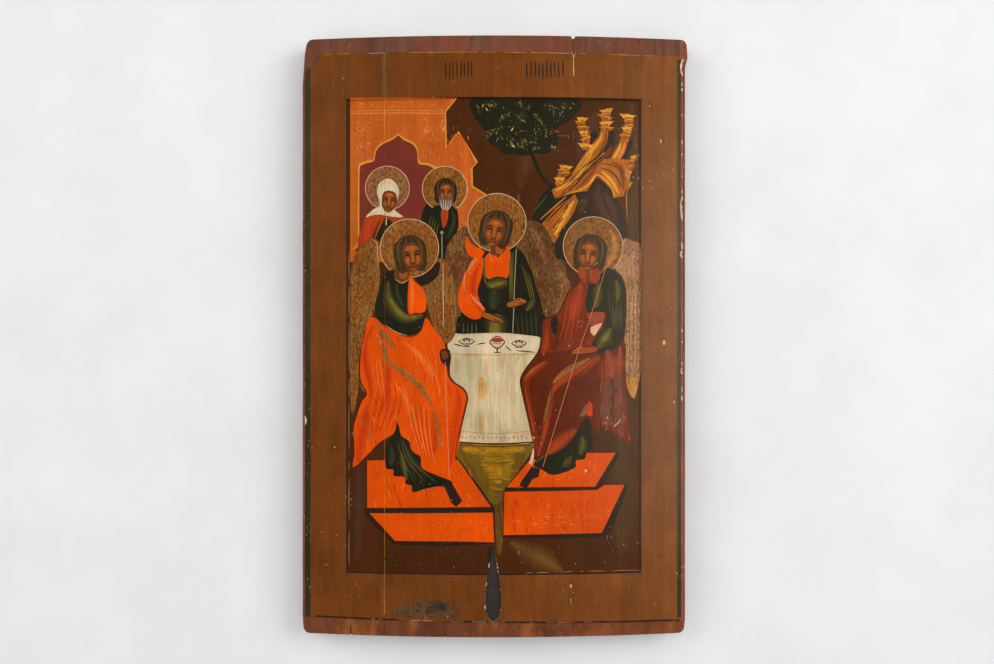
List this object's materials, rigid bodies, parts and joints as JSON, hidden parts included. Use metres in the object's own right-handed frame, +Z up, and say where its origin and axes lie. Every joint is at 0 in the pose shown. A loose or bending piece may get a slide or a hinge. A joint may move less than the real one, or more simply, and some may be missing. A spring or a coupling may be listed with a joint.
{
  "type": "icon panel",
  "caption": "Tall bowed wooden panel with a sunk painted field inside a wide border, bare bevels at top and bottom, and dovetailed cross battens behind.",
  "frame": {"origin": "on the flat back of the upper batten, on the panel's centre line and at half the batten's width, where the panel lies against the wall", "axes": "+Z up along the panel's height, -Y out of the painted front, +Y into the wall, +X to the right seen from the front"},
  "size_m": [0.3495, 0.0455, 0.54],
  "materials": {
    "board_wood": "old softwood boards, worn red-brown bole and bare wood on the bevels and edges, dark and dusty behind",
    "batten_wood": "dark hardwood, planed and waxed by handling",
    "painted_ground": "tempera on chalk ground under aged, darkened varnish, satin, with fine cracks, losses and a scorched hollow"
  },
  "bodies": {
    "root": {"board_left": "board_wood", "board_middle": "board_wood", "board_right": "board_wood", "batten_upper": "batten_wood", "batten_lower": "batten_wood", "gesso_ground": "painted_ground"}
  },
  "joints": []
}
